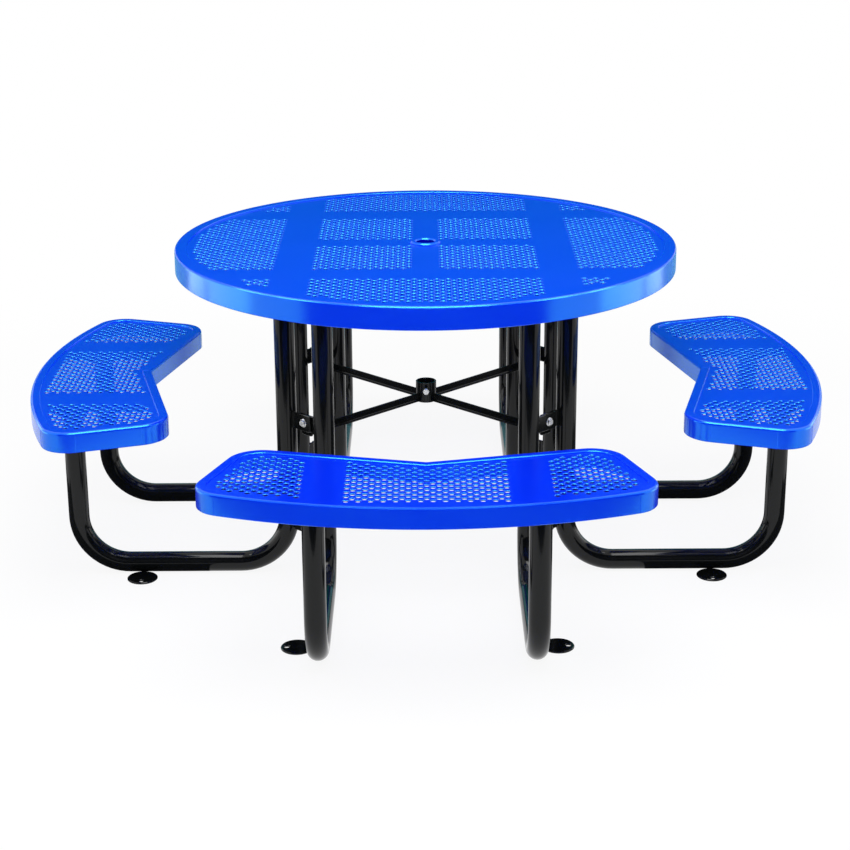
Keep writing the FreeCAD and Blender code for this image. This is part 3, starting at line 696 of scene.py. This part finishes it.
def paint_hole_shade(piece, reach):
    """Gives upright walls within reach of the middle a darker blue: painted shade for the shade that falls
    in the holes.
    """
    piece.data.materials.append(hole_shade_coat)
    for wall in piece.data.polygons:
        if abs(wall.normal.z) < wall_lean and wall.center.xy.length < reach:
            wall.material_index = 1


top_sheet = make_piece("top_sheet", punched_sheet(top_outlines, sheet_bottom, top_hole_lip), blue_coat,
                       "tabletop_sheet")
paint_hole_shade(top_sheet, top_radius)

# Umbrella collar: a turned flanged sleeve pressed into the hole of the top and coated with it.
# Its bore gets the same painted shade as the walls of the perforations.
collar_radius = 0.0355
collar_bore = 0.0215
collar_edge = 0.003
collar_steps = 72
collar_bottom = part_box("umbrella_collar")[0][2]
collar_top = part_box("umbrella_collar")[1][2]
sheet_top = sheet_bottom + sheet_thickness
collar_section = [(collar_bore, collar_bottom), (collar_sleeve, collar_bottom),
                  (collar_sleeve, sheet_top), (collar_radius, sheet_top),
                  (collar_radius, collar_top - collar_edge), (collar_radius - collar_edge, collar_top),
                  (collar_bore + collar_edge, collar_top), (collar_bore, collar_top - collar_edge)]
collar = make_piece("collar", spun(collar_section, collar_steps), blue_coat,
                    "umbrella_collar")
paint_hole_shade(collar, collar_bore + collar_edge / 4)

# Seats: boomerang pans with straight inner edges, slanted rounded ends and one wide arc outside.
# Each is a welded rim like the top's, with a perforated sheet and two channels that bolt to the leg plates.
seat_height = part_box("seat_rim_right")[1][2]
seat_notch = 0.657
seat_outer = 0.927
seat_arc_radius = 1.149
seat_inner_corner = Vector((0.561, 0.394))
seat_outer_along = 0.483
seat_inner_round = 0.074
seat_outer_round = 0.066
seat_flange = 0.022
seat_apron = 0.046
seam_radius = 0.0012
seam_rise = 0.0005
seam_sides = 8
corner_steps = 10
outer_steps = 24
seat_rail_start = 0.640
seat_rail_length = 0.250

# The inner round touches the straight edge and the slanted end, the outer one the slanted end and the arc
notch_point = Vector((seat_notch, 0))
arc_centre = Vector((seat_outer - seat_arc_radius, 0))
outer_run = math.sqrt(seat_arc_radius ** 2 - seat_outer_along ** 2)
outer_corner = arc_centre + Vector((outer_run, seat_outer_along))
inner_edge = (seat_inner_corner - notch_point).normalized()
slant = (outer_corner - seat_inner_corner).normalized()
edge_in = Vector((inner_edge.y, -inner_edge.x))
slant_in = Vector((slant.y, -slant.x))
half_corner = slant.angle(-inner_edge) / 2
into_corner = (slant - inner_edge).normalized()
inner_centre = seat_inner_corner + into_corner * seat_inner_round / math.sin(half_corner)
lead = seat_inner_corner + slant_in * seat_outer_round - arc_centre
along_slant = lead.dot(slant)
outer_spoke = lead + slant * (math.sqrt(along_slant ** 2 - lead.length_squared
                                        + (seat_arc_radius - seat_outer_round) ** 2) - along_slant)
outer_centre = arc_centre + outer_spoke


def seat_outline(inset):
    """Points round the seat towards +X, drawn in by an inset, with as many points for any inset."""
    inner_turn = 2 * half_corner - math.pi
    outer_bearing = math.atan2(outer_spoke.y, outer_spoke.x)
    outer_turn = outer_bearing - math.atan2(-slant_in.y, -slant_in.x)
    half = [Vector((seat_notch + inset / inner_edge.y, 0))]
    inner_start = inner_centre - edge_in * (seat_inner_round - inset)
    half += arc(inner_centre, inner_start, inner_turn, corner_steps)
    outer_start = outer_centre - slant_in * (seat_outer_round - inset)
    half += arc(outer_centre, outer_start, outer_turn, corner_steps)
    outer_end = arc_centre + outer_spoke.normalized() * (seat_arc_radius - inset)
    half += arc(arc_centre, outer_end, -outer_bearing, outer_steps)[1:]
    return half + [Vector((point.x, -point.y)) for point in reversed(half[1:-1])]


def inside(outline, x, y):
    """True where a point lies within a closed outline."""
    crossings = 0
    for near, far in zip(outline, outline[1:] + outline[:1]):
        if (near.y > y) != (far.y > y) and x < near.x + (y - near.y) * (far.x - near.x) / (far.y - near.y):
            crossings += 1
    return crossings % 2 == 1


def seat_rim():
    """The rim's section carried round the seat's outline."""
    bm = bmesh.new()
    loops = []
    for inwards, height in rim_section(seat_height, seat_flange, seat_apron):
        loops.append([bm.verts.new((point.x, point.y, height)) for point in seat_outline(inwards)])
    for one, other in zip(loops, loops[1:] + loops[:1]):
        for index, vert in enumerate(one):
            bm.faces.new((one[index - 1], vert, other[index], other[index - 1]))
    bmesh.ops.recalc_face_normals(bm, faces=bm.faces)
    return bm


def weld_seam(bm, start, end):
    """A straight bead of ground weld, covered by the coat."""
    run = Vector(end) - Vector(start)
    middle = (Vector(start) + Vector(end)) / 2
    lie = Matrix.Translation(middle) @ run.to_track_quat("Z", "Y").to_matrix().to_4x4()
    bmesh.ops.create_cone(bm, cap_ends=True, segments=seam_sides, radius1=seam_radius, radius2=seam_radius,
                          depth=run.length, matrix=lie)


def rim_seams(bm):
    """Seams where the bent corners meet the straight aprons, and the mitre at the notch."""
    line = seat_outline(seam_radius - seam_rise)
    joints = [0, 1, corner_steps + 1, corner_steps + 2, 2 * corner_steps + 2]
    joints += [len(line) - joint for joint in joints[1:]]
    for joint in joints:
        x, y = line[joint]
        weld_seam(bm, (x, y, seat_height - seat_apron + cut_lip), (x, y, seat_height - edge_radius))
    level = seat_height - seam_radius + seam_rise
    weld_seam(bm, (seat_notch + edge_radius, 0, level), (seat_notch + seat_flange, 0, level))


seat_middle = (seat_notch + seat_outer) / 2
hole_zone = seat_outline(seat_flange + hole_margin + hole_radius)
seat_outlines = [seat_outline(sheet_thickness + fit_gap)]
for x, y in lattice(seat_outer_along):
    if abs(abs(y) - seat_rail_centre) > band_half + hole_radius and inside(hole_zone, seat_middle + x, y):
        seat_outlines.append(ring_points((seat_middle + x, y), hole_radius, hole_corners))
seat_sheet_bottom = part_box("seat_sheet_right")[0][2]
seat_rail_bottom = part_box("seat_rails_right")[0][2]
for seat, turn in seat_turns.items():
    rim = seat_rim()
    rim_seams(rim)
    sheet = punched_sheet(seat_outlines, seat_sheet_bottom, seat_hole_lip)
    rails = bmesh.new()
    for side in (-1, 1):
        join(rails, channel(side * seat_rail_centre, seat_rail_bottom, seat_sheet_bottom, seat_rail_start,
                            seat_rail_start + seat_rail_length), 0)
    for part in (rim, sheet, rails):
        turn_about_middle(part, turn)
    make_piece(f"pan_rim_{seat}", rim, blue_coat, f"seat_rim_{seat}", crease=rim_crease)
    pan_sheet = make_piece(f"pan_sheet_{seat}", sheet, blue_coat, f"seat_sheet_{seat}")
    paint_hole_shade(pan_sheet, seat_outer)
    make_piece(f"pan_rails_{seat}", rails, blue_coat, f"seat_rails_{seat}")

# Mounting bolts: zinc plated hexagon bolts from below, through plate and rail.
# Their nuts are inside the channels.
head_rise = 0.0055
shank_steps = 24
for bolts_name, nuts_name, places in (("top_bolts", "top_nuts", top_bolts),
                                      ("seat_bolts", "seat_nuts", seat_bolts)):
    bolts = bmesh.new()
    nuts = bmesh.new()
    head_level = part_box(bolts_name)[0][2]
    bolt_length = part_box(bolts_name)[1][2] - head_level
    nut_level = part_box(nuts_name)[0][2]
    for side in (-1, 1):
        for x, y in places:
            bolt = hex_block(hex_across, head_rise, nut_lip)
            shank_section = [(0, 0), (bolt_radius, 0), (bolt_radius, bolt_length), (0, bolt_length)]
            join(bolt, spun(shank_section, shank_steps), 0)
            bmesh.ops.translate(bolt, verts=bolt.verts, vec=(x, side * y, head_level))
            join(bolts, bolt, *seat_turns.values())
            nut = hex_block(hex_across, nut_height, nut_lip)
            bmesh.ops.translate(nut, verts=nut.verts, vec=(x, side * y, nut_level))
            join(nuts, nut, *seat_turns.values())
    make_piece(f"mount_{bolts_name}", bolts, zinc, bolts_name, crease=flat_crease)
    make_piece(f"mount_{nuts_name}", nuts, zinc, nuts_name, crease=flat_crease)

# Studio: a white floor and surround, with softboxes overhead, in front, and high and low at the sides.
# Cloths that only reflections see hang in front and at the back, and lie on the floor under the side seats.
# Those on the floor are painted shade, standing for the floor in shade under the seats as reflections see
# it.
# All keep the blacks deep and the blues rich; those in front and at the back do it as the walls and gear of
# a real studio do.
floor_size = 30.0
shadow_start = 1.0
shadow_reach = 2.6
shadow_depth = 0.10


def stage_panel(name, place, facing, width, height, colour):
    """A flat panel of plain matt colour that faces a direction."""
    bm = bmesh.new()
    bmesh.ops.create_grid(bm, x_segments=1, y_segments=1, size=0.5)
    bmesh.ops.scale(bm, vec=(width, height, 1), verts=bm.verts)
    turn = Vector(facing).to_track_quat("Z", "Y").to_matrix().to_4x4()
    bmesh.ops.transform(bm, matrix=Matrix.Translation(place) @ turn, verts=bm.verts)
    mesh = bpy.data.meshes.new(name)
    bm.to_mesh(mesh)
    bm.free()
    material = bpy.data.materials.new(name)
    material.use_nodes = True
    shader = material.node_tree.nodes["Principled BSDF"]
    shader.inputs["Base Color"].default_value = (*colour, 1)
    shader.inputs["Roughness"].default_value = 0.9
    shader.inputs["Specular IOR Level"].default_value = 0.0
    mesh.materials.append(material)
    panel = bpy.data.objects.new(name, mesh)
    bpy.context.collection.objects.link(panel)
    return panel


def seen_ray(tree):
    """A value of 1 for rays of the camera and reflections, and 0 for light that falls on the object."""
    path = tree.nodes.new("ShaderNodeLightPath")
    direct = tree.nodes.new("ShaderNodeMath")
    direct.operation = "MAXIMUM"
    through = tree.nodes.new("ShaderNodeMath")
    through.operation = "MAXIMUM"
    node_link(tree, path.outputs["Is Camera Ray"], direct.inputs[0])
    node_link(tree, path.outputs["Is Glossy Ray"], direct.inputs[1])
    node_link(tree, direct.outputs["Value"], through.inputs[0])
    node_link(tree, path.outputs["Is Transmission Ray"], through.inputs[1])
    return through.outputs["Value"]


studio_floor = stage_panel("studio_floor", (0, 0, 0), (0, 0, 1), floor_size, floor_size, (0.93, 0.93, 0.93))
tree = studio_floor.data.materials[0].node_tree
white = tree.nodes.new("ShaderNodeEmission")
away = tree.nodes.new("ShaderNodeVectorMath")
away.operation = "LENGTH"
fade = tree.nodes.new("ShaderNodeMapRange")
fade.interpolation_type = "SMOOTHSTEP"
fade.inputs["From Min"].default_value = shadow_start
fade.inputs["From Max"].default_value = shadow_reach
fade.inputs["To Min"].default_value = 1 - shadow_depth
fade.inputs["To Max"].default_value = 1.0
share = tree.nodes.new("ShaderNodeMath")
share.operation = "MULTIPLY"
lit = tree.nodes.new("ShaderNodeMixShader")
node_link(tree, tree.nodes.new("ShaderNodeTexCoord").outputs["Object"], away.inputs[0])
node_link(tree, away.outputs["Value"], fade.inputs["Value"])
node_link(tree, fade.outputs["Result"], share.inputs[0])
node_link(tree, seen_ray(tree), share.inputs[1])
node_link(tree, share.outputs["Value"], lit.inputs["Fac"])
node_link(tree, tree.nodes["Principled BSDF"].outputs["BSDF"], lit.inputs[1])
node_link(tree, white.outputs["Emission"], lit.inputs[2])
node_link(tree, lit.outputs["Shader"], tree.nodes["Material Output"].inputs["Surface"])

for name, place, facing, width, height, colour in (
        ("front_cloth", (0, -1.5, 1.2), (0, 1, 0), 3.4, 2.4, (0.03, 0.03, 0.05)),
        ("low_cloth", (0, 1.7, 0.3), (0, -1, 0), 5.6, 0.6, (0.24, 0.60, 0.66)),
        # Painted shade: dark sheets for the shaded floor under the side seats, seen only in reflections.
        ("left_floor_shade", (-0.96, 0.0, 0.002), (0, 0, 1), 0.9, 0.96, (0.08, 0.08, 0.085)),
        ("right_floor_shade", (0.96, 0.0, 0.002), (0, 0, 1), 0.9, 0.96, (0.08, 0.08, 0.085)),
        ("back_cloth", (0, 7, 2.1), (0, -1, 0), 6, 4.2, (0.02, 0.60, 0.70))):
    cloth = stage_panel(name, place, facing, width, height, colour)
    cloth.visible_camera = False
    cloth.visible_diffuse = False
    cloth.visible_shadow = False

world = bpy.data.worlds.new("studio")
world.use_nodes = True
bpy.context.scene.world = world
tree = world.node_tree
surround = tree.nodes["Background"]
surround.inputs["Color"].default_value = (1, 1, 1, 1)
surround.inputs["Strength"].default_value = 0.2
backdrop = tree.nodes.new("ShaderNodeBackground")
backdrop.inputs["Color"].default_value = (1, 1, 1, 1)
lit = tree.nodes.new("ShaderNodeMixShader")
node_link(tree, seen_ray(tree), lit.inputs["Fac"])
node_link(tree, surround.outputs["Background"], lit.inputs[1])
node_link(tree, backdrop.outputs["Background"], lit.inputs[2])
node_link(tree, lit.outputs["Shader"], tree.nodes["World Output"].inputs["Surface"])


def soft_light(name, place, target, width, height, power):
    """A rectangular softbox that faces a target."""
    lamp = bpy.data.lights.new(name, "AREA")
    lamp.shape = "RECTANGLE"
    lamp.size = width
    lamp.size_y = height
    lamp.energy = power
    lamp_object = bpy.data.objects.new(name, lamp)
    towards = (Vector(target) - Vector(place)).to_track_quat("-Z", "Y").to_matrix().to_4x4()
    lamp_object.matrix_world = Matrix.Translation(place) @ towards
    bpy.context.collection.objects.link(lamp_object)


soft_light("overhead_softbox", (0, -1.15, 3.4), (0, -1.15, 0), width=2.0, height=2.5, power=88.0)
soft_light("front_softbox", (0, -5.4, 2.7), (0, 0, 0.6), width=3.0, height=2.0, power=100.0)
for side in (-1, 1):
    soft_light("high_near", (side * 2.2, -0.5, 3.4), (side * 2.2, -0.5, 0), width=0.9, height=0.7, power=9.0)
    soft_light("high_far", (side * 3.2, 0.45, 3.4), (side * 3.2, 0.45, 0), width=1.0, height=1.0, power=14.0)
    soft_light("side_softbox", (side * 2.5, 1.2, 0.62), (0, 0, 0.62), width=0.8, height=1.2, power=5.2)
    soft_light("side_panel", (side * 2.6, 0, 0.62), (0, 0, 0.62), width=1.3, height=1.2, power=6.8)

scene = bpy.context.scene
scene.view_settings.view_transform = "Standard"
